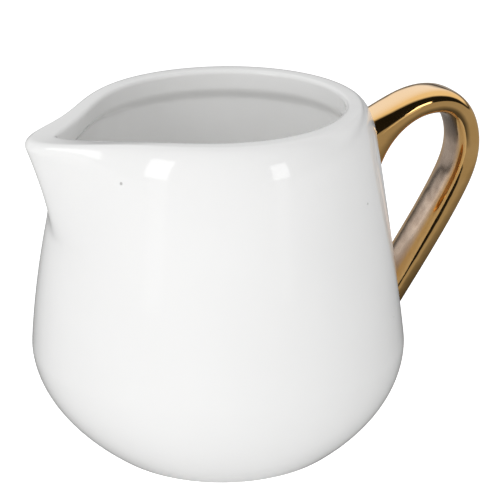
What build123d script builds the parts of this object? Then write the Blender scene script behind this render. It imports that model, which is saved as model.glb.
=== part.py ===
"""Porcelain cream jug: a round-bellied cast body with a pulled pouring lip, and a gold-lustred loop handle.

Millimetres. +Z is up, and the origin is the centre of the foot ring on the table. The pouring lip
points along -X and the handle along +X, so XZ is the plane of symmetry.
"""

import os
from math import cos, exp, pi, radians, sin, sqrt

from build123d import *

os.makedirs("parts", exist_ok=True)

# ---- Body -------------------------------------------------------------------------------------
JUG_HEIGHT = 90.0
BELLY_RADIUS = 45.3
BELLY_HEIGHT = 29.4  # widest level
BASE_RADIUS = 25.4  # where the belly's curve runs out above the foot
RIM_RADIUS = 36.5  # outside of the mouth, before the rim is rounded
BELLY_FULLNESS = 2.04  # the two exponents of the curve from the foot to the belly
BASE_SPRING = 0.95
SHOULDER_CURVE = 1.08  # 1 would be a straight cone from the belly to the rim
SWELL = 3.1  # the belly is this much fuller on the lip's side
SWELL_SHARPNESS = 1.8
MOUTH_PINCH = 1.6  # the mouth is squeezed in this much on its two sides

# ---- Pouring lip ------------------------------------------------------------------------------
LIP_REACH = 14.2  # beyond the round mouth, on the outside
CHANNEL_REACH = 11.9  # and on the inside
LIP_START = 0.68  # share of the height where the lip leaves the wall
LIP_CURVE = 1.19  # how late the lip turns outward; 1 would be a straight slope
LIP_FOLD = 1.11  # 2 would be a soft bulge, 1 a sharp fold
LIP_HALF_ANGLE_LOW = radians(9.5)  # where the lip leaves the wall
LIP_HALF_ANGLE_TOP = radians(10.9)  # and at the rim
CHANNEL_HALF_ANGLE = radians(14.4)
LIP_BLUNTNESS_LOW = radians(2.0)  # how much of the fold is rounded off, low down
LIP_BLUNTNESS_TOP = radians(8.0)  # and at the rim
CHANNEL_BLUNTNESS = radians(2.6)
LIP_BLEND_ANGLE = radians(14)  # the rim changes over this half angle

# ---- Wall and rim -----------------------------------------------------------------------------
WALL = 4.8
FLOOR_THICKNESS = 4.6
RIM_THICKNESS = 6.5  # the rim is rolled thicker than the wall
RIM_BAND = 4.8  # height of that roll inside the mouth
RIM_STEP = 4.0  # height over which it falls back to the wall
RIM_SHOULDER = 2.9  # the soft outer rounding of the rim, measured across
RIM_SHOULDER_DROP = 8.0  # and down the wall
LIP_SHOULDER_DROP = 3.0  # and down the lip
RIM_INNER_ROUND = 1.2

# ---- Foot ring --------------------------------------------------------------------------------
FOOT_HEIGHT = 1.8
FOOT_OUTER_RADIUS = 21.0
FOOT_INNER_RADIUS = 17.4
FOOT_EDGE = 0.6

# ---- Handle -----------------------------------------------------------------------------------
HANDLE_WIDTH = 13.0
HANDLE_THICKNESS = 6.2
HANDLE_CORNER = 2.4
HANDLE_TOP_ROOT = (33.0, 76.6)  # centreline points, (x, z), from the shoulder round to the belly
HANDLE_RISE = (46.5, 82.2)
HANDLE_CREST_START = (53.7, 84.4)
HANDLE_CREST_END = (61.4, 83.3)
HANDLE_BEND = (66.2, 72.4)
HANDLE_FALL = (62.2, 60.3)
HANDLE_LOWER_RUN = (54.5, 47.8)
HANDLE_FOOT_ROOT = (40.3, 27.1)
FLARE = 13.7  # how far the underside is drawn down at the top root
FLARE_LENGTH = 22.0  # how far along the handle that goes
FLARE_CURVE = 2.7
JOINT_SPREAD = 1.3  # the slip stands this far proud of the handle where it meets the body
JOINT_FEATHER = 0.3  # and this far at its outer end
TOP_JOINT = (1.0, 7.5, 10.5)  # distances from the top root where the slip starts, spreads and ends
FOOT_JOINT = (0.5, 9.0, 13.5)

# ---- Drawing resolution -----------------------------------------------------------------------
OUTLINE_POINTS = 44  # per level of the body
EVEN_SHARE = 0.3  # of the spacing round a level: the rest crowds the points into the lip
CROWDING = 2.2
BELLY_LEVELS = 8
SHOULDER_LEVELS = 8
STEP_LEVELS = 4
BAND_LEVELS = 2
ROUND_STEPS = 6
HANDLE_SECTIONS = 24
FLARE_SECTIONS = 10


def wall_radius(height):
    """Outside radius of the round body, before the lip is pulled."""
    if height < BELLY_HEIGHT:
        fall = 1 - height / BELLY_HEIGHT
        share = (1 - fall**BELLY_FULLNESS) ** BASE_SPRING
        return BASE_RADIUS + (BELLY_RADIUS - BASE_RADIUS) * share
    climb = (height - BELLY_HEIGHT) / (JUG_HEIGHT - BELLY_HEIGHT)
    return BELLY_RADIUS - (BELLY_RADIUS - RIM_RADIUS) * climb**SHOULDER_CURVE


def pinch(height, turn):
    """How far the mouth is squeezed in from its two sides."""
    climb = max(0.0, (height - BELLY_HEIGHT) / (JUG_HEIGHT - BELLY_HEIGHT))
    return MOUTH_PINCH * climb**2 * sin(turn) ** 2


def fold(turn, half_angle, bluntness):
    """1 on the lip's centre line, falling to 0 beyond its half angle."""
    off = sqrt(turn**2 + bluntness**2) - bluntness
    return exp(-((off / half_angle) ** LIP_FOLD))


def lip_climb(height):
    """0 where the lip leaves the wall, 1 at the rim."""
    return max(0.0, (height / JUG_HEIGHT - LIP_START) / (1 - LIP_START))


def lip_reach(height, turn):
    """How far the outside of the pulled lip stands out of the round body."""
    climb = lip_climb(height)
    half_angle = LIP_HALF_ANGLE_LOW + (LIP_HALF_ANGLE_TOP - LIP_HALF_ANGLE_LOW) * climb
    bluntness = LIP_BLUNTNESS_LOW + (LIP_BLUNTNESS_TOP - LIP_BLUNTNESS_LOW) * climb
    return LIP_REACH * climb**LIP_CURVE * fold(turn, half_angle, bluntness)


def channel_reach(height, turn):
    """The same for the pouring channel on the inside."""
    climb = lip_climb(height)
    return CHANNEL_REACH * climb**LIP_CURVE * fold(turn, CHANNEL_HALF_ANGLE, CHANNEL_BLUNTNESS)


def round_body(height, turn):
    """Outside radius without the lip."""
    swell = SWELL * sin(pi * height / JUG_HEIGHT) * ((1 + cos(turn)) / 2) ** SWELL_SHARPNESS
    return wall_radius(height) - pinch(height, turn) + swell


def outline(height, reach, inset, shape_height=None):
    """Closed curve of points round the body; inset is a function of the turn away from the lip."""
    shape = height if shape_height is None else shape_height
    points = []
    for step in range(OUTLINE_POINTS):
        share = 2 * step / OUTLINE_POINTS - 1
        turn = pi * share * (EVEN_SHARE + (1 - EVEN_SHARE) * abs(share) ** (CROWDING - 1))
        radius = round_body(shape, turn) + reach(shape, turn) - inset(turn)
        points.append((-radius * cos(turn), -radius * sin(turn)))
    return points


def levels(low, high, count):
    """Heights from low to high, closer together towards both ends."""
    middle, half = (low + high) / 2, (high - low) / 2
    return [middle - half * cos(pi * step / (count - 1)) for step in range(count)]


def rising_levels(low, high, count):
    """Even heights above low, up to and including high."""
    return [low + (high - low) * (step + 1) / count for step in range(count)]


def rounding_levels(start, drop):
    """Heights up a rounded edge, closer together towards its top."""
    return [start + drop * sin(pi / 2 * (step + 1) / ROUND_STEPS) for step in range(ROUND_STEPS)]


def quarter_round(above, across, down):
    """Inset of an elliptical edge rounding, at a distance above its start."""
    share = min(1.0, max(0.0, above / down))
    return across * (1 - sqrt(1 - share**2))


def outer_inset(height):
    """The outer rounding of the rim, as an inset at a height."""

    def inset(turn):
        in_lip = exp(-((turn / LIP_BLEND_ANGLE) ** 2))
        drop = RIM_SHOULDER_DROP + (LIP_SHOULDER_DROP - RIM_SHOULDER_DROP) * in_lip
        return quarter_round(height - (JUG_HEIGHT - drop), RIM_SHOULDER, drop)

    return inset


def inner_inset(height):
    """The wall's thickness at a height inside the mouth: wall, step, roll, inner rounding."""
    below = min(1.0, max(0.0, (JUG_HEIGHT - RIM_BAND - height) / RIM_STEP))
    rounding = quarter_round(height - (JUG_HEIGHT - RIM_INNER_ROUND), RIM_INNER_ROUND, RIM_INNER_ROUND)
    thickness = WALL + (RIM_THICKNESS - WALL) * (1 + cos(pi * below)) / 2 - rounding
    return lambda turn: thickness


# ---- Blank: the solid outside shape of the body, used to cut the body and to trim the handle -----
rim_start = JUG_HEIGHT - RIM_SHOULDER_DROP
blank_levels = levels(FOOT_HEIGHT, BELLY_HEIGHT, BELLY_LEVELS)
blank_levels += rising_levels(BELLY_HEIGHT, rim_start, SHOULDER_LEVELS)
blank_levels += rounding_levels(rim_start, RIM_SHOULDER_DROP)

with BuildPart() as blank:
    for level in blank_levels:
        with BuildSketch(Plane.XY.offset(level)):
            with BuildLine():
                Spline(*outline(level, lip_reach, outer_inset(level)), periodic=True)
            make_face()
    loft()

# ---- Body -------------------------------------------------------------------------------------
step_low = JUG_HEIGHT - RIM_BAND - RIM_STEP
cavity_levels = levels(FLOOR_THICKNESS, BELLY_HEIGHT, BELLY_LEVELS)
cavity_levels += rising_levels(BELLY_HEIGHT, step_low, SHOULDER_LEVELS)
inner_round_start = JUG_HEIGHT - RIM_INNER_ROUND
mouth_levels = rising_levels(step_low, step_low + RIM_STEP, STEP_LEVELS)
mouth_levels += rising_levels(step_low + RIM_STEP, inner_round_start, BAND_LEVELS)
mouth_levels += rounding_levels(inner_round_start, RIM_INNER_ROUND)


def cavity_shape(height):
    """The level of the outside that the inside follows, which closes in towards the floor."""
    if height >= BELLY_HEIGHT:
        return height
    return BELLY_HEIGHT * (height - FLOOR_THICKNESS) / (BELLY_HEIGHT - FLOOR_THICKNESS)


with BuildPart() as body:
    add(blank.part)
    for level in cavity_levels + mouth_levels:
        with BuildSketch(Plane.XY.offset(level)):
            with BuildLine():
                inner_points = outline(level, channel_reach, inner_inset(level), cavity_shape(level))
                Spline(*inner_points, periodic=True)
            make_face()
    loft(mode=Mode.SUBTRACT)
    with BuildSketch():
        Circle(FOOT_OUTER_RADIUS)
        Circle(FOOT_INNER_RADIUS, mode=Mode.SUBTRACT)
    extrude(amount=FOOT_HEIGHT)
    foot_edges = body.edges().filter_by(GeomType.CIRCLE).group_by(Axis.Z)[0]
    fillet(foot_edges, FOOT_EDGE)

body.part.label = "body"
export_step(body.part, "parts/body.step")

# ---- Handle -----------------------------------------------------------------------------------
with BuildLine() as spine:
    Spline(
        *[
            (x, 0, z)
            for x, z in (
                HANDLE_TOP_ROOT,
                HANDLE_RISE,
                HANDLE_CREST_START,
                HANDLE_CREST_END,
                HANDLE_BEND,
                HANDLE_FALL,
                HANDLE_LOWER_RUN,
                HANDLE_FOOT_ROOT,
            )
        ]
    )
spine_wire = spine.wires()[0]
spine_length = spine_wire.length


def across_handle(distance):
    """The plane across the handle at a distance along its centreline, its y axis outward."""
    share = distance / spine_length
    return Plane(origin=spine_wire @ share, x_dir=(0, 1, 0), z_dir=spine_wire % share)


def flare(distance):
    """How far the underside is drawn down at a distance along the handle."""
    return FLARE * max(0.0, 1 - distance / FLARE_LENGTH) ** FLARE_CURVE


def section(distance, proud=0.0):
    """Draw the handle's outline, grown by proud, in the sketch across it at a distance."""
    deep = flare(distance)
    with Locations((0, -deep / 2)):
        RectangleRounded(
            HANDLE_WIDTH + 2 * proud, HANDLE_THICKNESS + deep + 2 * proud, HANDLE_CORNER + proud
        )


flare_distances = [FLARE_LENGTH * step / FLARE_SECTIONS for step in range(FLARE_SECTIONS)]
run_distances = [
    FLARE_LENGTH + (spine_length - FLARE_LENGTH) * step / HANDLE_SECTIONS
    for step in range(HANDLE_SECTIONS + 1)
]

with BuildPart() as handle:
    for distance in flare_distances + run_distances:
        with BuildSketch(across_handle(distance)):
            section(distance)
    loft()
    add(blank.part, mode=Mode.SUBTRACT)

handle.part.label = "handle"
export_step(handle.part, "parts/handle.step")


def slip_sizes(stops):
    """Distances along the handle and how far the slip stands proud of it there."""
    buried, spread, end = stops
    middle = (spread + end) / 2
    return (
        (buried, JOINT_SPREAD),
        (spread, JOINT_SPREAD),
        (middle, JOINT_SPREAD / 2),
        (end, JOINT_FEATHER),
    )


# ---- Slip at the handle's two joints ------------------------------------------------------------
with BuildPart() as upper_handle_joint:
    for distance, proud in slip_sizes(TOP_JOINT):
        with BuildSketch(across_handle(distance)):
            section(distance, proud)
    loft()
    add(blank.part, mode=Mode.SUBTRACT)
    add(handle.part, mode=Mode.SUBTRACT)

upper_handle_joint.part.label = "upper_handle_joint"
export_step(upper_handle_joint.part, "parts/upper_handle_joint.step")

with BuildPart() as lower_handle_joint:
    for distance, proud in slip_sizes(FOOT_JOINT):
        with BuildSketch(across_handle(spine_length - distance)):
            section(spine_length - distance, proud)
    loft()
    add(blank.part, mode=Mode.SUBTRACT)
    add(handle.part, mode=Mode.SUBTRACT)

lower_handle_joint.part.label = "lower_handle_joint"
export_step(lower_handle_joint.part, "parts/lower_handle_joint.step")
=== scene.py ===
"""Porcelain cream jug with a gold-lustred handle: the looks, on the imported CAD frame. Metres, +Z up."""

from math import cos, exp, pi, radians, sin, sqrt

import bmesh
import bpy
import numpy as np
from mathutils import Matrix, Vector


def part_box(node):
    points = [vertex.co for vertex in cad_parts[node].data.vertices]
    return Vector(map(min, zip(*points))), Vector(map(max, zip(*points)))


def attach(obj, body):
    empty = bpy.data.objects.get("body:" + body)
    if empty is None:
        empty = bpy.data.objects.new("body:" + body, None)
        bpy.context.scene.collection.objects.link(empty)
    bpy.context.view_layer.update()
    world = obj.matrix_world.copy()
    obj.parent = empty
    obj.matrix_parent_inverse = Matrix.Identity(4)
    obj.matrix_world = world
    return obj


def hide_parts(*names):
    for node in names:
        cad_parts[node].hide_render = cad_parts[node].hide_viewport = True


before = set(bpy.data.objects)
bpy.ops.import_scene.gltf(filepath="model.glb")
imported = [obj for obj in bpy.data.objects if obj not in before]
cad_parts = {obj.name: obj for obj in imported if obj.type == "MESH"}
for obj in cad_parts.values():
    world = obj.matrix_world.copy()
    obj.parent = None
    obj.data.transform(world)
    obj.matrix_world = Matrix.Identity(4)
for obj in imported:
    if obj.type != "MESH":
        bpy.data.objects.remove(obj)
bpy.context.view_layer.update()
SCENE = bpy.context.scene
MM = 0.001

# ---- Body and rim, millimetres, as in the CAD -----------------------------------------------------
JUG_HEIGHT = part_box("body")[1].z / MM
BELLY_RADIUS = 45.3
BELLY_HEIGHT = 29.4
BASE_RADIUS = 25.4
RIM_RADIUS = 36.5
BELLY_FULLNESS = 2.04
BASE_SPRING = 0.95
SHOULDER_CURVE = 1.08
SWELL = 3.1  # the belly is this much fuller on the lip's side
SWELL_SHARPNESS = 1.8
MOUTH_PINCH = 1.6

WALL = 4.8
FLOOR_THICKNESS = 4.6
RIM_THICKNESS = 6.5
RIM_BAND = 4.8
RIM_STEP = 4.0
RIM_SHOULDER = 2.9  # the outer rounding, measured across
RIM_SHOULDER_DROP = 8.0  # and down the wall
LIP_SHOULDER_DROP = 3.0  # and down the lip
RIM_INNER_ROUND = 1.2

# ---- Pouring lip ----------------------------------------------------------------------------------
LIP_START = 0.68
LIP_CURVE = 1.19
LIP_REACH = 14.2
LIP_FOLD = 1.11
LIP_BLUNTNESS_LOW = radians(2.0)
LIP_BLUNTNESS_TOP = radians(8.0)
LIP_HALF_ANGLE_LOW = radians(9.5)
LIP_HALF_ANGLE_TOP = radians(10.9)
LIP_BLEND_ANGLE = radians(14)
CHANNEL_REACH = 11.9
CHANNEL_FOLD = 1.02
CHANNEL_BLUNTNESS = radians(2.6)
CHANNEL_HALF_ANGLE = radians(14.4)
LIP_DIP = 2.5  # the rim dips this far at the lip, which the CAD leaves flat
LIP_DIP_ANGLE = radians(30)

# ---- Foot ring and underside ----------------------------------------------------------------------
FOOT_HEIGHT = 1.8
FOOT_OUTER_RADIUS = 21.0
FOOT_INNER_RADIUS = 17.4
FOOT_EDGE = 0.6
FOOT_INNER_FILLET = 0.9
FOOT_OUTER_FILLET = 1.0
FOOT_CREVICE = 0.2  # the outer fillet ends this much lower than the foot ring's top
UNDERSIDE_RADII = (4.0, 10.0, 15.0)
UNDERSIDE_DOME = 0.35  # the underside is higher by this much in the middle
WALL_START = 3.4
UNDERBELLY_CURVE = 2.6  # how late the underside turns up into the wall
FLOOR_ROUND = 2.2  # height over which the inside wall turns into the floor
FLOOR_CURVE = 3.2

# ---- Handle ---------------------------------------------------------------------------------------
HANDLE_WIDTH = 13.0
HANDLE_THICKNESS = 6.2
HANDLE_SQUARENESS = 2.8  # 2 would be an ellipse
HANDLE_FLARE = 13.7  # extra depth under the top root, where the handle runs into the body
HANDLE_FLARE_LENGTH = 22.0
HANDLE_FLARE_CURVE = 2.7
HANDLE_LINE = [
    (33.0, 76.6),
    (46.5, 82.2),
    (53.7, 84.4),
    (61.4, 83.3),
    (66.2, 72.4),
    (62.2, 60.3),
    (54.5, 47.8),
    (40.3, 27.1),
]
HANDLE_START, HANDLE_END = 0.0, 0.965  # shares of the line, both inside the body

# ---- Mesh resolution ------------------------------------------------------------------------------
TURNS = 256
EVEN_SHARE = 0.3  # of the spacing round the body: the rest crowds the points into the lip
CROWDING = 2.2
ARC_STEPS = 4
UNDERBELLY_RINGS = 8
WALL_RINGS = 70
WALL_CROWDING = 1.15
SHOULDER_RINGS = 14
INNER_ROUND_RINGS = 7
BAND_RINGS = 4
STEP_RINGS = 10
CAVITY_RINGS = 60
FLOOR_RINGS = 12
HANDLE_AROUND = 64
HANDLE_ALONG = 150
SECTION_SAMPLES = 1440
HALVINGS = 40  # of the interval in which the handle meets the body


# ---- Shape of the body ----------------------------------------------------------------------------
def mix(a, b, share):
    return a + (b - a) * share


def wall_radius(height):
    """Outside radius of the round body, before the lip is pulled."""
    if height < BELLY_HEIGHT:
        fall = 1 - max(0.0, height) / BELLY_HEIGHT
        share = (1 - fall**BELLY_FULLNESS) ** BASE_SPRING
        return BASE_RADIUS + (BELLY_RADIUS - BASE_RADIUS) * share
    climb = (height - BELLY_HEIGHT) / (JUG_HEIGHT - BELLY_HEIGHT)
    return BELLY_RADIUS - (BELLY_RADIUS - RIM_RADIUS) * climb**SHOULDER_CURVE


def pinch(height, turn):
    """How far the mouth is squeezed in from its two sides."""
    climb = max(0.0, (height - BELLY_HEIGHT) / (JUG_HEIGHT - BELLY_HEIGHT))
    return MOUTH_PINCH * climb**2 * sin(turn) ** 2


def lip_climb(height):
    """0 where the lip leaves the wall, 1 at the rim."""
    return max(0.0, (height / JUG_HEIGHT - LIP_START) / (1 - LIP_START))


def fold(turn, half_angle, sharpness, bluntness):
    """1 on the lip's centre line, falling to 0 beyond its half angle."""
    off = sqrt(turn**2 + bluntness**2) - bluntness
    return exp(-((off / half_angle) ** sharpness))


def lip_reach(height, turn):
    """How far the outside of the lip stands out of the round body."""
    climb = lip_climb(height)
    half_angle = mix(LIP_HALF_ANGLE_LOW, LIP_HALF_ANGLE_TOP, climb)
    bluntness = mix(LIP_BLUNTNESS_LOW, LIP_BLUNTNESS_TOP, climb)
    return LIP_REACH * climb**LIP_CURVE * fold(turn, half_angle, LIP_FOLD, bluntness)


def channel_reach(height, turn):
    """The same for the pouring channel on the inside."""
    shape = fold(turn, CHANNEL_HALF_ANGLE, CHANNEL_FOLD, CHANNEL_BLUNTNESS)
    return CHANNEL_REACH * lip_climb(height) ** LIP_CURVE * shape


def round_body(height, turn):
    """Outside radius without the lip."""
    side = ((1 + cos(turn)) / 2) ** SWELL_SHARPNESS
    swell = SWELL * sin(pi * min(1.0, height / JUG_HEIGHT)) * side
    return wall_radius(height) - pinch(height, turn) + swell


def outside(height, turn):
    """Radius of the outside before the rim is rounded."""
    return round_body(height, turn) + lip_reach(height, turn)


def inside(height, turn, thickness):
    """Radius of the inside before the rim is rounded."""
    return round_body(height, turn) + channel_reach(height, turn) - thickness


def dip(height, turn):
    """How far the rim and the wall under it are drawn down at the lip."""
    return -LIP_DIP * lip_climb(height) ** 2 * exp(-((turn / LIP_DIP_ANGLE) ** 2))


def shoulder_drop(turn):
    """Height of the rim's outer rounding."""
    return mix(RIM_SHOULDER_DROP, LIP_SHOULDER_DROP, exp(-((turn / LIP_BLEND_ANGLE) ** 2)))


def turn_at(step):
    """The angle away from the lip of one of the points round a ring."""
    share = 2 * step / TURNS - 1
    return pi * share * (EVEN_SHARE + (1 - EVEN_SHARE) * abs(share) ** (CROWDING - 1))


def ring_point(radius, height, turn, shape):
    """A point in metres; shape is the level whose dip it takes."""
    return (-radius * cos(turn) * MM, -radius * sin(turn) * MM, (height + dip(shape, turn)) * MM)


def quarter(first=0):
    """Angles over a quarter turn."""
    return [pi / 2 * step / ARC_STEPS for step in range(first, ARC_STEPS + 1)]


def cavity_shape(height):
    """The level of the outside that the inside follows, which closes in towards the floor."""
    if height > BELLY_HEIGHT:
        return height
    return BELLY_HEIGHT * (height - FLOOR_THICKNESS) / (BELLY_HEIGHT - FLOOR_THICKNESS)


class BodyRings:
    """Rings of points from the middle of the underside, up the outside, over the rim and to the floor."""

    def __init__(self):
        self.rings, self.kinds = [], []
        self.foot()
        self.outer_wall()
        self.rim()
        self.cavity()

    def ring(self, place, kind="glaze"):
        """Add a ring; place gives the radius, height and shape level at a turn."""
        points = []
        for step in range(TURNS):
            turn = turn_at(step)
            radius, height, shape = place(turn)
            points.append(ring_point(radius, height, turn, shape))
        self.rings.append(points)
        self.kinds.append(kind)

    def flat(self, radius, height, kind="glaze"):
        self.ring(lambda turn: (radius, height, 0), kind)

    def foot(self):
        """The underside, the foot ring and its fillets, and its unglazed resting face."""
        for radius in (*UNDERSIDE_RADII, FOOT_INNER_RADIUS - FOOT_INNER_FILLET):
            self.flat(radius, FOOT_HEIGHT + UNDERSIDE_DOME * (1 - (radius / FOOT_INNER_RADIUS) ** 2))
        for a in quarter(1):
            radius = FOOT_INNER_RADIUS - FOOT_INNER_FILLET * (1 - sin(a))
            self.flat(radius, FOOT_HEIGHT - FOOT_INNER_FILLET * (1 - cos(a)))
        for a in quarter():
            self.flat(FOOT_INNER_RADIUS + FOOT_EDGE * (1 - cos(a)), FOOT_EDGE * (1 - sin(a)), "biscuit")
        self.flat((FOOT_INNER_RADIUS + FOOT_OUTER_RADIUS) / 2, 0.0, "biscuit")
        for a in quarter():
            self.flat(FOOT_OUTER_RADIUS - FOOT_EDGE * (1 - sin(a)), FOOT_EDGE * (1 - cos(a)), "biscuit")
        for a in quarter(1):
            radius = FOOT_OUTER_RADIUS + FOOT_OUTER_FILLET * (1 - cos(a))
            self.flat(radius, FOOT_HEIGHT - FOOT_OUTER_FILLET * (1 - sin(a)) - FOOT_CREVICE)

    def outer_wall(self):
        """From the foot ring out under the belly and up to the rim's rounding."""
        crevice = FOOT_HEIGHT - FOOT_CREVICE
        for step in range(1, UNDERBELLY_RINGS):

            def underbelly(turn, share=step / UNDERBELLY_RINGS):
                radius = mix(FOOT_OUTER_RADIUS + FOOT_OUTER_FILLET, outside(WALL_START, turn), share)
                return radius, crevice + (WALL_START - crevice) * share**UNDERBELLY_CURVE, 0

            self.ring(underbelly)
        for step in range(WALL_RINGS + 1):

            def wall(turn, share=step / WALL_RINGS):
                height = mix(WALL_START, JUG_HEIGHT - shoulder_drop(turn), share**WALL_CROWDING)
                return outside(height, turn), height, height

            self.ring(wall)

    def rim(self):
        """The outer rounding, the inner rounding, the rolled band and the step under it."""
        for step in range(1, SHOULDER_RINGS + 1):

            def shoulder(turn, a=pi / 2 * step / SHOULDER_RINGS):
                height = JUG_HEIGHT - shoulder_drop(turn) * (1 - sin(a))
                return outside(height, turn) - RIM_SHOULDER * (1 - cos(a)), height, height

            self.ring(shoulder)
        for step in range(INNER_ROUND_RINGS + 1):

            def rounding(turn, a=pi / 2 * (1 - step / INNER_ROUND_RINGS)):
                height = JUG_HEIGHT - RIM_INNER_ROUND * (1 - sin(a))
                radius = inside(height, turn, RIM_THICKNESS) + RIM_INNER_ROUND * (1 - cos(a))
                return radius, height, JUG_HEIGHT

            self.ring(rounding)
        for step in range(1, BAND_RINGS + 1):

            def band(turn, share=step / BAND_RINGS):
                height = mix(JUG_HEIGHT - RIM_INNER_ROUND, JUG_HEIGHT - RIM_BAND, share)
                return inside(height, turn, RIM_THICKNESS), height, height

            self.ring(band)
        for step in range(1, STEP_RINGS + 1):

            def thinning(turn, share=step / STEP_RINGS):
                height = JUG_HEIGHT - RIM_BAND - RIM_STEP * share
                thickness = mix(WALL, RIM_THICKNESS, (1 + cos(pi * share)) / 2)
                return inside(height, turn, thickness), height, height

            self.ring(thinning)

    def cavity(self):
        """The inside wall and the floor."""
        floor_start = FLOOR_THICKNESS + FLOOR_ROUND
        for step in range(1, CAVITY_RINGS + 1):

            def wall(turn, share=step / CAVITY_RINGS):
                height = mix(JUG_HEIGHT - RIM_BAND - RIM_STEP, floor_start, share)
                return inside(cavity_shape(height), turn, WALL), height, cavity_shape(height)

            self.ring(wall)
        for step in range(1, FLOOR_RINGS):

            def floor(turn, share=1 - step / FLOOR_RINGS):
                radius = inside(cavity_shape(floor_start), turn, WALL) * share
                return radius, FLOOR_THICKNESS + FLOOR_ROUND * share**FLOOR_CURVE, 0

            self.ring(floor)


# ---- Meshes ---------------------------------------------------------------------------------------
def finish_mesh(name, bm, replaced, materials):
    """A smooth, subdivided piece that stands in for the CAD nodes it replaces."""
    mesh = bpy.data.meshes.new(name)
    bmesh.ops.recalc_face_normals(bm, faces=bm.faces)
    bm.to_mesh(mesh)
    bm.free()
    for polygon in mesh.polygons:
        polygon.use_smooth = True
    piece = bpy.data.objects.new(name, mesh)
    SCENE.collection.objects.link(piece)
    for material in materials:
        mesh.materials.append(material)
    modifier = piece.modifiers.new("smooth", "SUBSURF")
    modifier.levels = modifier.render_levels = 1
    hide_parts(*replaced)
    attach(piece, "root")
    return piece


def skin(bm, rings, closed_across=False):
    """Quads between neighbouring rings of points."""
    rows = [[bm.verts.new(point) for point in ring] for ring in rings]
    count = len(rows[0])
    strips = []
    pairs = list(zip(rows, rows[1:]))
    if closed_across:
        pairs.append((rows[-1], rows[0]))
    for low, high in pairs:
        strip = []
        for i in range(count):
            j = (i + 1) % count
            strip.append(bm.faces.new((low[i], low[j], high[j], high[i])))
        strips.append(strip)
    return rows, strips


def cap(bm, row, centre, flip=False):
    """Close a ring with a fan of triangles."""
    middle = bm.verts.new(centre)
    count = len(row)
    for i in range(count):
        j = (i + 1) % count
        bm.faces.new((row[j], row[i], middle) if flip else (row[i], row[j], middle))


# ---- Shape of the handle --------------------------------------------------------------------------
def spline(values, knots, at):
    """Natural cubic through values at knots, read at the places in at."""
    values, knots = np.array(values, float), np.array(knots, float)
    n = len(knots)
    gap = np.diff(knots)
    system, right = np.eye(n), np.zeros(n)
    for i in range(1, n - 1):
        system[i, i - 1 : i + 2] = gap[i - 1], 2 * (gap[i - 1] + gap[i]), gap[i]
        slope_after = (values[i + 1] - values[i]) / gap[i]
        slope_before = (values[i] - values[i - 1]) / gap[i - 1]
        right[i] = 6 * (slope_after - slope_before)
    bend = np.linalg.solve(system, right)
    k = np.clip(np.searchsorted(knots, at) - 1, 0, n - 2)
    a, b = (knots[k + 1] - at) / gap[k], (at - knots[k]) / gap[k]
    curve = a * values[k] + b * values[k + 1]
    return curve + ((a**3 - a) * bend[k] + (b**3 - b) * bend[k + 1]) * gap[k] ** 2 / 6


line = np.array(HANDLE_LINE)
line_knots = np.concatenate([[0], np.cumsum(np.hypot(*np.diff(line, axis=0).T))])
line_knots /= line_knots[-1]
line_length = float(np.hypot(*np.diff(line, axis=0).T).sum())


def handle_frame(share):
    """Centre, and outward normal in the XZ plane, at a share of the handle's length."""
    step = 1e-4
    at = np.array([share - step, share, share + step])
    x, z = spline(line[:, 0], line_knots, at), spline(line[:, 1], line_knots, at)
    along = Vector((x[2] - x[0], 0, z[2] - z[0])).normalized()
    return Vector((x[1], 0, z[1])), Vector((-along.z, 0, along.x))


def flare(share):
    """How far the handle's underside is drawn down towards the body near the top root."""
    near = max(0.0, 1 - share * line_length / HANDLE_FLARE_LENGTH)
    return HANDLE_FLARE * near**HANDLE_FLARE_CURVE


def squared(value):
    """A sine or cosine pushed out towards 1 and -1, which squares a circle's sides."""
    return abs(value) ** (2 / HANDLE_SQUARENESS) * (1 if value >= 0 else -1)


def handle_point(share, angle, grow=0.0):
    """A point on the handle's surface, millimetres, or grown out of it."""
    centre, outward = handle_frame(share)
    across = (HANDLE_WIDTH / 2 + grow) * squared(cos(angle))
    deep = flare(share)
    out = (HANDLE_THICKNESS / 2 + deep / 2 + grow) * squared(sin(angle)) - deep / 2
    return centre + outward * out + Vector((0, across, 0))


def section_angles():
    """Angles round the handle's section, even along its outline."""
    angles = [2 * pi * i / SECTION_SAMPLES for i in range(SECTION_SAMPLES + 1)]
    half_width, half_thickness = HANDLE_WIDTH / 2, HANDLE_THICKNESS / 2
    points = [(half_width * squared(cos(a)), half_thickness * squared(sin(a))) for a in angles]
    run = [0.0]
    for p, q in zip(points, points[1:]):
        run.append(run[-1] + sqrt((p[0] - q[0]) ** 2 + (p[1] - q[1]) ** 2))
    targets = [run[-1] * i / HANDLE_AROUND for i in range(HANDLE_AROUND)]
    return list(np.interp(targets, run, angles))


ANGLES = section_angles()


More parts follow.
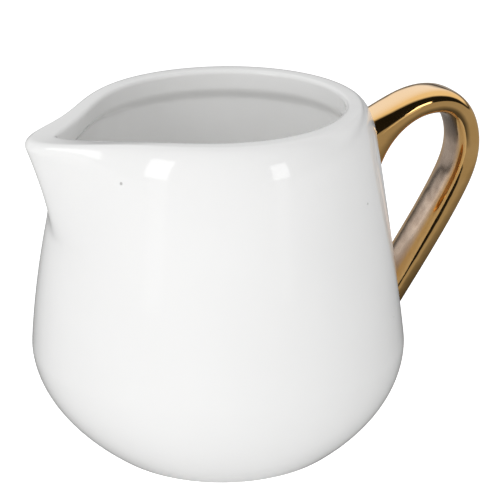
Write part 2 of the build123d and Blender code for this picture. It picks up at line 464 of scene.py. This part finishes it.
# ---- Materials ------------------------------------------------------------------------------------
class Nodes:
    """A material's node tree, built one node at a time."""

    def __init__(self, name):
        self.material = bpy.data.materials.new(name)
        self.material.use_nodes = True
        self.tree = self.material.node_tree
        self.tree.nodes.clear()
        self.out = self.add("ShaderNodeOutputMaterial")
        self.shader = self.add("ShaderNodeBsdfPrincipled")
        self.join(self.shader, "BSDF", self.out, "Surface")
        self.place = self.add("ShaderNodeTexCoord")

    def add(self, kind, **values):
        node = self.tree.nodes.new(kind)
        for key, value in values.items():
            setattr(node, key, value)
        return node

    def join(self, a, out, b, into):
        self.tree.links.new(a.outputs[out], b.inputs[into])

    def set(self, socket, value):
        self.shader.inputs[socket].default_value = value

    def noise(self, scale, detail=3.0, roughness=0.5, stretch=None):
        node = self.add("ShaderNodeTexNoise")
        node.inputs["Scale"].default_value = scale
        node.inputs["Detail"].default_value = detail
        node.inputs["Roughness"].default_value = roughness
        if stretch:
            mapping = self.add("ShaderNodeMapping")
            mapping.inputs["Scale"].default_value = stretch
            self.join(self.place, "Object", mapping, "Vector")
            self.join(mapping, "Vector", node, "Vector")
        else:
            self.join(self.place, "Object", node, "Vector")
        return node

    def ramp(self, source, out, first, last):
        """A colour ramp with two stops, each a position and a colour."""
        node = self.add("ShaderNodeValToRGB")
        self.join(source, out, node, "Fac")
        for element, (position, colour) in zip(node.color_ramp.elements, (first, last)):
            element.position = position
            element.color = (*colour, 1.0)
        return node

    def map_range(self, source, out, low, high, to_low, to_high):
        node = self.add("ShaderNodeMapRange")
        node.inputs["From Min"].default_value = low
        node.inputs["From Max"].default_value = high
        node.inputs["To Min"].default_value = to_low
        node.inputs["To Max"].default_value = to_high
        self.join(source, out, node, "Value")
        return node

    def mix(self, source, out, first, second):
        """A colour between two, each a socket or a plain colour, by a value."""
        node = self.add("ShaderNodeMix", data_type="RGBA")
        self.join(source, out, node, 0)
        for index, colour in ((6, first), (7, second)):
            if isinstance(colour, tuple):
                node.inputs[index].default_value = colour
            else:
                self.tree.links.new(colour, node.inputs[index])
        return node.outputs[2]

    def bump(self, source, out, distance, under=None):
        node = self.add("ShaderNodeBump")
        node.inputs["Strength"].default_value = 1.0
        node.inputs["Distance"].default_value = distance
        self.join(source, out, node, "Height")
        if under:
            self.join(under, "Normal", node, "Normal")
        return node


def porcelain():
    """White glaze with soft waves, and rare grey pinholes."""
    n = Nodes("white_porcelain")
    n.set("IOR", 1.5)
    cloud = n.noise(scale=28, detail=3)
    colour = n.ramp(cloud, "Fac", (0.3, (0.95, 0.95, 0.945)), (0.7, (0.965, 0.965, 0.96)))
    cells = n.add("ShaderNodeTexVoronoi")
    cells.inputs["Scale"].default_value = 120
    n.join(n.place, "Object", cells, "Vector")
    speck = n.map_range(cells, "Distance", 0.035, 0.06, 1.0, 0.0)
    split = n.add("ShaderNodeSeparateColor")
    n.join(cells, "Color", split, "Color")
    rare = n.map_range(split, "Red", 0.88, 0.885, 0.0, 0.75)
    pinhole = n.add("ShaderNodeMath", operation="MULTIPLY")
    n.join(speck, "Result", pinhole, 0)
    n.join(rare, "Result", pinhole, 1)
    dark = n.mix(pinhole, 0, colour.outputs["Color"], (0.42, 0.41, 0.4, 1))
    n.tree.links.new(dark, n.shader.inputs["Base Color"])
    haze = n.noise(scale=60, detail=4)
    n.join(n.map_range(haze, "Fac", 0.3, 0.7, 0.05, 0.1), "Result", n.shader, "Roughness")
    waves = n.bump(n.noise(scale=70, detail=2), "Fac", 0.00012)
    n.join(n.bump(pinhole, 0, -0.0001, under=waves), "Normal", n.shader, "Normal")
    return n.material


def biscuit():
    """Unglazed, slightly dirty ring underneath."""
    n = Nodes("unglazed_biscuit")
    grain = n.noise(scale=900, detail=5, roughness=0.7)
    dirt = n.noise(scale=90, detail=4, roughness=0.6)
    colour = n.ramp(dirt, "Fac", (0.35, (0.62, 0.6, 0.56)), (0.62, (0.82, 0.8, 0.76)))
    n.join(colour, "Color", n.shader, "Base Color")
    n.join(n.map_range(grain, "Fac", 0.3, 0.7, 0.65, 0.85), "Result", n.shader, "Roughness")
    n.join(n.bump(grain, "Fac", 0.00008), "Normal", n.shader, "Normal")
    return n.material


FACE_LAYER = "face"
LUSTRE_DARK, LUSTRE_LIGHT = (0.8, 0.47, 0.16), (0.9, 0.56, 0.22)
# The outer face's paler colour is a painted highlight of the light from above; the inner face's greyer
# colours are a painted reflection of the white body beside it.
OUTER_FACE_HIGHLIGHT = (0.92, 0.65, 0.38, 1)
INNER_FACE_REFLECTION_DARK, INNER_FACE_REFLECTION_LIGHT = (0.62, 0.47, 0.36), (0.8, 0.63, 0.5)
INNER_FACE_ROUGHER = 0.12


def face_of(angle):
    """-1 on the handle's inner face, 1 on its outer face, between the two on its sides."""
    return squared(sin(angle))


def gold(name, by_face=False):
    """Bright gold lustre; by_face paints a paler highlight on the outer face, and a greyer, mottled painted
    reflection of the white body on the inner face, which is also rougher.
    """
    n = Nodes(name)
    n.set("Metallic", 1.0)
    film = n.noise(scale=60, detail=5, roughness=0.6, stretch=(1, 1, 2.5))
    colour = n.ramp(film, "Fac", (0.3, LUSTRE_DARK), (0.7, LUSTRE_LIGHT))
    haze = n.noise(scale=130, detail=5, roughness=0.65)
    gloss = n.map_range(haze, "Fac", 0.35, 0.7, 0.04, 0.11)
    if by_face:
        side = n.add("ShaderNodeAttribute", attribute_name=FACE_LAYER)
        # Painted highlight: the outer face is paled towards a peach colour.
        outer = n.map_range(side, "Fac", 0.9, 1.0, 0.0, 1.0)
        painted_highlight = n.mix(outer, "Result", colour.outputs["Color"], OUTER_FACE_HIGHLIGHT)
        # Painted reflection: the inner face takes greyer, mottled colours that stand in for the white body
        # reflected in it, and is made rougher.
        inner = n.map_range(side, "Fac", -0.86, -0.98, 0.0, 1.0)
        reflection_mottle = n.noise(scale=220, detail=4, roughness=0.7)
        painted_reflection = n.ramp(reflection_mottle, "Fac", (0.35, INNER_FACE_REFLECTION_DARK), (0.65, INNER_FACE_REFLECTION_LIGHT))
        both = n.mix(inner, "Result", painted_highlight, painted_reflection.outputs["Color"])
        n.tree.links.new(both, n.shader.inputs["Base Color"])
        rough = n.add("ShaderNodeMath", operation="MULTIPLY_ADD")
        n.join(inner, "Result", rough, 0)
        rough.inputs[1].default_value = INNER_FACE_ROUGHER
        n.join(gloss, "Result", rough, 2)
        n.join(rough, 0, n.shader, "Roughness")
    else:
        n.join(colour, "Color", n.shader, "Base Color")
        n.join(gloss, "Result", n.shader, "Roughness")
    n.join(n.bump(n.noise(scale=110, detail=2), "Fac", 0.0002), "Normal", n.shader, "Normal")
    return n.material


PORCELAIN = porcelain()
BISCUIT = biscuit()
GOLD = gold("gold_lustre", by_face=True)
GOLD_SLIP = gold("gold_lustre_slip")

# ---- Body -----------------------------------------------------------------------------------------
shape = BodyRings()
bm = bmesh.new()
rows, strips = skin(bm, shape.rings)
for kind, strip in zip(shape.kinds, strips):
    for polygon in strip:
        polygon.material_index = 1 if kind == "biscuit" else 0
cap(bm, rows[0], (0, 0, (FOOT_HEIGHT + UNDERSIDE_DOME) * MM), flip=True)
cap(bm, rows[-1], (0, 0, FLOOR_THICKNESS * MM))
finish_mesh("porcelain_body", bm, ["body"], [PORCELAIN, BISCUIT])

# ---- Handle ---------------------------------------------------------------------------------------
bm = bmesh.new()
handle_rings = []
for step in range(HANDLE_ALONG + 1):
    share = mix(HANDLE_START, HANDLE_END, step / HANDLE_ALONG)
    handle_rings.append([handle_point(share, angle) * MM for angle in ANGLES])
face = bm.verts.layers.float.new(FACE_LAYER)
rows, _ = skin(bm, handle_rings)
for row in rows:
    for vert, angle in zip(row, ANGLES):
        vert[face] = face_of(angle)
cap(bm, rows[0], handle_frame(HANDLE_START)[0] * MM, flip=True)
cap(bm, rows[-1], handle_frame(HANDLE_END)[0] * MM)
finish_mesh("gold_handle", bm, ["handle"], [GOLD])

# ---- Slip joints ----------------------------------------------------------------------------------
FILLET_STEPS = 6
LIFT = 0.02  # of the fillet's edges off the surfaces, so that nothing flickers
SINK = 0.6  # of the skirt's back into the body and the handle
BACK_SHARE = 0.9  # of the fillet's reach, where its back is


def outside_by(point):
    """How far a point stands out of the body, horizontally."""
    turn = np.arctan2(-point.y, -point.x)
    return sqrt(point.x**2 + point.y**2) - outside(point.z, turn)


def onto_body(point, sink):
    """The place on the body beside a point, sunk into it."""
    turn = np.arctan2(-point.y, -point.x)
    radius = outside(point.z, turn) - sink
    return Vector((-radius * cos(turn), -radius * sin(turn), point.z))


def crossing(near, far, point_at):
    """The share of the handle, from near inside the body to far outside it, where it leaves the body."""
    low, high = near, far
    for _ in range(HALVINGS):
        middle = (low + high) / 2
        if outside_by(point_at(middle)) > 0:
            high = middle
        else:
            low = middle
    return (low + high) / 2


def joint(name, near, far, reach, spread):
    """A fillet skirt from the handle's side to the body's, closed behind inside the two."""
    root = handle_frame(crossing(near, far, lambda share: handle_frame(share)[0]))[0]
    along = (1 if far > near else -1) * reach / line_length
    rings = [[] for _ in range(FILLET_STEPS + 3)]
    for angle in ANGLES:
        met = crossing(near, far, lambda share: handle_point(share, angle))
        meet = handle_point(met, angle)
        on_handle = handle_point(met + along, angle, LIFT)
        away = (meet - root).normalized()
        on_body = onto_body(meet + away * spread, -LIFT)
        for k in range(FILLET_STEPS + 1):
            t = k / FILLET_STEPS
            rings[k].append((on_handle * (1 - t) ** 2 + meet * 2 * t * (1 - t) + on_body * t**2) * MM)
        rings[-2].append(onto_body(meet + away * spread * BACK_SHARE, SINK) * MM)
        rings[-1].append(handle_point(met + along * BACK_SHARE, angle, -SINK) * MM)
    bm = bmesh.new()
    skin(bm, rings, closed_across=True)
    finish_mesh(name + "_skirt", bm, [name], [GOLD_SLIP])


joint("upper_handle_joint", near=0.0, far=0.25, reach=1.8, spread=1.2)
joint("lower_handle_joint", near=1.0, far=0.7, reach=2.2, spread=1.0)

# ---- Stage ----------------------------------------------------------------------------------------
HANDLE_TURN = radians(22.9)  # the handle is turned away from the camera by this much
FLOOR_SIZE = 8.0
FLOOR_ALBEDO = 0.85
PAINTED_SHADOW_REACH = (0.09, 0.24)  # distances from the jug over which the reflected floor's painted shadow brightens back to its full glow


def turned(x, y, z):
    """A point of the camera's own upright frame (x right, y away), in the row frame."""
    c, s = cos(HANDLE_TURN), sin(HANDLE_TURN)
    return Vector((x * c + y * s, -x * s + y * c, z))


def flat_sheet(name, height):
    bm = bmesh.new()
    bmesh.ops.create_grid(bm, x_segments=8, y_segments=8, size=FLOOR_SIZE)
    bmesh.ops.translate(bm, verts=bm.verts, vec=(0, 0, height))
    mesh = bpy.data.meshes.new(name)
    bm.to_mesh(mesh)
    bm.free()
    made = bpy.data.objects.new(name, mesh)
    SCENE.collection.objects.link(made)
    return made


def stage_sheet(name, albedo, glow, height, rays, shadow_glow=None):
    """A horizontal sheet of the studio that only some rays meet; shadow_glow is its glow close to the jug, a
    painted shadow of the jug round its foot.
    """
    made = flat_sheet(name, height)
    n = Nodes(name)
    n.set("Base Color", (albedo, albedo, albedo, 1))
    n.set("Roughness", 0.9)
    n.set("Specular IOR Level", 0.0)
    n.set("Emission Color", (1, 1, 1, 1))
    n.set("Emission Strength", glow)
    if shadow_glow is not None:
        distance = n.add("ShaderNodeVectorMath", operation="LENGTH")
        n.join(n.place, "Object", distance, 0)
        n.join(n.map_range(distance, "Value", *PAINTED_SHADOW_REACH, shadow_glow, glow), "Result", n.shader, "Emission Strength")
    made.data.materials.append(n.material)
    made.visible_camera = "camera" in rays
    made.visible_diffuse = "diffuse" in rays
    made.visible_glossy = "glossy" in rays
    made.visible_shadow = "shadow" in rays


stage_sheet("studio_floor", FLOOR_ALBEDO, 0.75, 0.0, rays=("camera", "shadow"))
stage_sheet("lighting_floor", FLOOR_ALBEDO, 0.32, -0.0001, rays=("diffuse",))
# Seen only in reflections, this sheet's glow is painted darker close to the jug: a painted shadow of the jug.
stage_sheet("reflected_floor", 0.0, 0.38, -0.0002, rays=("glossy",), shadow_glow=0.08)


# ---- Surroundings ---------------------------------------------------------------------------------
class WorldNodes:
    """The studio round the jug, as light by direction."""

    def __init__(self):
        world = bpy.data.worlds.new("studio")
        SCENE.world = world
        world.use_nodes = True
        self.tree = world.node_tree
        self.tree.nodes.clear()
        self.place = self.tree.nodes.new("ShaderNodeTexCoord")
        self.out = self.tree.nodes.new("ShaderNodeOutputWorld")

    def math(self, operation, a, b):
        node = self.tree.nodes.new("ShaderNodeMath")
        node.operation = operation
        for index, value in enumerate((a, b)):
            if isinstance(value, (int, float)):
                node.inputs[index].default_value = value
            else:
                self.tree.links.new(value, node.inputs[index])
        return node.outputs[0]

    def towards(self, direction):
        """How far a ray points along a direction."""
        node = self.tree.nodes.new("ShaderNodeVectorMath")
        node.operation = "DOT_PRODUCT"
        self.tree.links.new(self.place.outputs["Generated"], node.inputs[0])
        node.inputs[1].default_value = direction
        return node.outputs["Value"]

    def ease(self, value, low, high, to_low=0.0, to_high=1.0):
        node = self.tree.nodes.new("ShaderNodeMapRange")
        node.interpolation_type = "SMOOTHSTEP"
        node.inputs["From Min"].default_value = low
        node.inputs["From Max"].default_value = high
        node.inputs["To Min"].default_value = to_low
        node.inputs["To Max"].default_value = to_high
        self.tree.links.new(value, node.inputs["Value"])
        return node.outputs["Result"]

    def background(self, strength):
        node = self.tree.nodes.new("ShaderNodeBackground")
        self.tree.links.new(strength, node.inputs["Strength"])
        return node.outputs["Background"]

    def switch(self, chooser, first, second):
        node = self.tree.nodes.new("ShaderNodeMixShader")
        self.tree.links.new(chooser, node.inputs[0])
        self.tree.links.new(first, node.inputs[1])
        self.tree.links.new(second, node.inputs[2])
        return node.outputs[0]


ROOM_LOW, ROOM_HIGH = 0.44, 0.58  # light from the horizon and from overhead
ROOM_SIDE = 0.3  # how much less comes from the right
ROOM_FRONT = 0.7  # how much more comes from the camera's side
ROOM_LEAST = 0.02
MIRROR_DARK = 0.015
MIRROR_BACK_TOP = 1.22  # a bright panel above and behind, seen only in reflections
MIRROR_HORIZON = 0.5

w = WorldNodes()
up = w.towards((0, 0, 1))
right = w.towards(turned(1, 0, 0))
away = w.towards(turned(0, 1, 0))
overhead = w.ease(up, 0.0, 0.9, ROOM_LOW, ROOM_HIGH)
room = w.math("SUBTRACT", overhead, w.math("MULTIPLY", right, ROOM_SIDE))
room = w.math("ADD", room, w.ease(away, 0.2, -0.8, 0.0, ROOM_FRONT))
room = w.math("MAXIMUM", room, ROOM_LEAST)
back_top = w.math("MULTIPLY", w.ease(up, 0.12, 0.35), w.ease(away, 0.0, 0.35))
horizon = w.ease(up, 0.16, 0.04, 0.0, MIRROR_HORIZON)
mirror = w.math("MAXIMUM", w.math("MULTIPLY", back_top, MIRROR_BACK_TOP), horizon)
mirror = w.math("MAXIMUM", mirror, MIRROR_DARK)
ray_kind = w.tree.nodes.new("ShaderNodeLightPath")
surroundings = w.switch(ray_kind.outputs["Is Glossy Ray"], w.background(room), w.background(mirror))
w.tree.links.new(surroundings, w.out.inputs["Surface"])

# ---- Soft boxes -----------------------------------------------------------------------------------
LAMP_DISTANCE = 0.8
LAMP_AIM = Vector((0, 0, 0.06))


def soft_box(name, azimuth, elevation, width, height, power):
    """An area light aimed at the jug; azimuth is from the camera's side, to the right."""
    a, e = radians(azimuth), radians(elevation)
    data = bpy.data.lights.new(name, "AREA")
    data.shape = "RECTANGLE"
    data.size, data.size_y = width, height
    data.energy = power
    lamp = bpy.data.objects.new(name, data)
    SCENE.collection.objects.link(lamp)
    lamp.location = LAMP_AIM + turned(sin(a) * cos(e), -cos(a) * cos(e), sin(e)) * LAMP_DISTANCE
    lamp.rotation_mode = "QUATERNION"
    lamp.rotation_quaternion = (LAMP_AIM - lamp.location).to_track_quat("-Z", "Y")
    lamp.visible_camera = False


soft_box("left_box", azimuth=-40, elevation=26, width=0.2, height=0.36, power=0.6)
soft_box("left_box_foot", azimuth=-38, elevation=4, width=0.16, height=0.26, power=0.05)
soft_box("right_box", azimuth=44.5, elevation=18, width=0.16, height=0.24, power=0.36)
soft_box("right_box_foot", azimuth=44.5, elevation=2, width=0.12, height=0.24, power=0.035)

# ---- Camera ---------------------------------------------------------------------------------------
CAMERA_REACH = 0.52593
CAMERA_HEIGHT = 0.25551
CAMERA_LENS = 163.9872
CAMERA_SENSOR = 36.0
CAMERA_ASIDE = 0.0067
CAMERA_AIM_HEIGHT = 0.05221

camera_data = bpy.data.cameras.new("camera")
camera_data.sensor_width = CAMERA_SENSOR
camera_data.lens = CAMERA_LENS
camera_data.clip_start = 0.01
camera_data.clip_end = 50
camera = bpy.data.objects.new("camera", camera_data)
SCENE.collection.objects.link(camera)
camera.location = turned(0, -CAMERA_REACH, CAMERA_HEIGHT)
target = turned(CAMERA_ASIDE, 0, CAMERA_AIM_HEIGHT)
camera.rotation_mode = "QUATERNION"
camera.rotation_quaternion = (target - camera.location).to_track_quat("-Z", "Y")
SCENE.camera = camera
SCENE.view_settings.view_transform = "Standard"
SCENE.cycles.max_bounces = 16
SCENE.cycles.diffuse_bounces = 12
